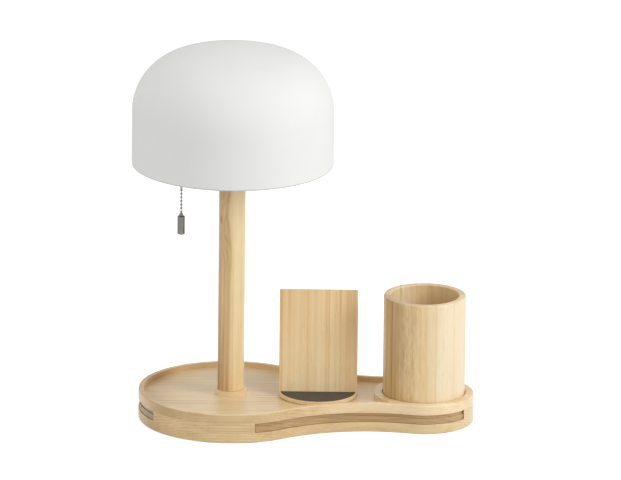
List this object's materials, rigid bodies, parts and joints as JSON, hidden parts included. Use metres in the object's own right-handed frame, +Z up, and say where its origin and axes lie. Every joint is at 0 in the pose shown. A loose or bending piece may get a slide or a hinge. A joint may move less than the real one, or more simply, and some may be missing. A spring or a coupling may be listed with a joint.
{
  "type": "desk lamp with drawer base",
  "caption": "Desk lamp with a white dome shade on a wooden post; its wooden tray base has slim drawers, a swivelling phone rest, a lift-out pen cup and a pull chain.",
  "frame": {"origin": "on the post's axis, at desk height, on the lower face of the pad under the post", "axes": "+Z up along the post, +X from the post to the pen cup, -Y towards the front, where the long drawer opens"},
  "size_m": [0.3447, 0.202, 0.385],
  "materials": {
    "base_wood": "satin varnish",
    "drawer_face_wood": "satin varnish, darker wood",
    "drawer_box_wood": "raw, sanded",
    "cup_wood": "satin varnish",
    "stand_wood": "satin varnish",
    "post_wood": "satin varnish",
    "rubber_black": "matt",
    "screw_steel": "zinc plated",
    "lead_sheath": "smooth",
    "slip_plastic": "smooth",
    "zinc_tube": "zinc plated thread",
    "switch_plastic": "fine grain",
    "nickel": "nickel plated",
    "pendant_steel": "satin turned",
    "holder_plastic": "smooth",
    "contact_brass": "bright",
    "bulb_metal": "pressed",
    "bulb_opal": "opal",
    "shade_white": "matt white"
  },
  "bodies": {
    "lamp_and_base": {"base_bottom_board": "base_wood", "base_middle_frame": "base_wood", "base_top_board": "base_wood", "anti_slip_feet": "rubber_black", "underside_cover": "rubber_black", "cord_gland": "rubber_black", "cover_screws": "screw_steel", "carrier_screws": "screw_steel", "anchor_washer": "screw_steel", "anchor_nut": "screw_steel", "switch_bracket": "screw_steel", "post_cap": "screw_steel", "shade_carrier": "screw_steel", "internal_lead": "lead_sheath", "switch_leads": "lead_sheath", "post": "post_wood", "threaded_tube": "zinc_tube", "switch_body": "switch_plastic", "switch_stem": "nickel", "switch_stem_nut": "nickel", "holder_cap": "holder_plastic", "holder_shell": "holder_plastic", "holder_insert": "holder_plastic", "lower_shade_ring": "holder_plastic", "upper_shade_ring": "holder_plastic", "centre_contact": "contact_brass", "side_contact": "contact_brass", "bulb_cap": "bulb_metal", "bulb_glass": "bulb_opal", "lamp_shade": "shade_white"},
    "front_drawer": {"front_drawer_face": "drawer_face_wood", "front_drawer_bottom": "drawer_box_wood", "front_drawer_left_side": "drawer_box_wood", "front_drawer_right_side": "drawer_box_wood", "front_drawer_back": "drawer_box_wood"},
    "left_drawer": {"left_drawer_face": "drawer_face_wood", "left_drawer_bottom": "drawer_box_wood", "left_drawer_front_side": "drawer_box_wood", "left_drawer_rear_side": "drawer_box_wood", "left_drawer_back": "drawer_box_wood"},
    "pen_cup": {"pen_cup_body": "cup_wood", "pen_cup_bottom": "cup_wood"},
    "phone_stand": {"stand_disc": "stand_wood", "stand_pad": "rubber_black", "phone_rest": "stand_wood", "rest_screws": "screw_steel", "stand_pivot_pin": "screw_steel", "stand_slip_washer": "slip_plastic", "stand_keeper_washer": "screw_steel", "stand_keeper_screw": "screw_steel"},
    "pull_plunger": {"switch_plunger": "nickel"},
    "pull_chain": {"chain_fork": "nickel", "bead_chain": "nickel", "chain_pendant": "pendant_steel"}
  },
  "joints": [
    {"name": "front_drawer_slide", "type": "slide", "parent": "lamp_and_base", "child": "front_drawer", "axis": [0, -1, 0], "range_m": [0, 0.06]},
    {"name": "left_drawer_slide", "type": "slide", "parent": "lamp_and_base", "child": "left_drawer", "axis": [-1, 0, 0], "range_m": [0, 0.03]},
    {"name": "pen_cup_lift", "type": "slide", "parent": "lamp_and_base", "child": "pen_cup", "axis": [0, 0, 1], "range_m": [0, 0.04]},
    {"name": "stand_swivel", "type": "hinge", "parent": "lamp_and_base", "child": "phone_stand", "pos_m": [0.0877, -0.003, 0.025], "axis": [0, 0, 1], "continuous": true},
    {"name": "switch_pull", "type": "slide", "parent": "lamp_and_base", "child": "pull_plunger", "axis": [0, 0, -1], "range_m": [0, 0.008], "stiffness_N_per_m": 800, "springref_m": -0.004},
    {"name": "chain_swing", "type": "hinge", "parent": "pull_plunger", "child": "pull_chain", "pos_m": [-0.051, 0, 0.2412], "axis": [0, 1, 0], "range_deg": [-35, 35]}
  ]
}
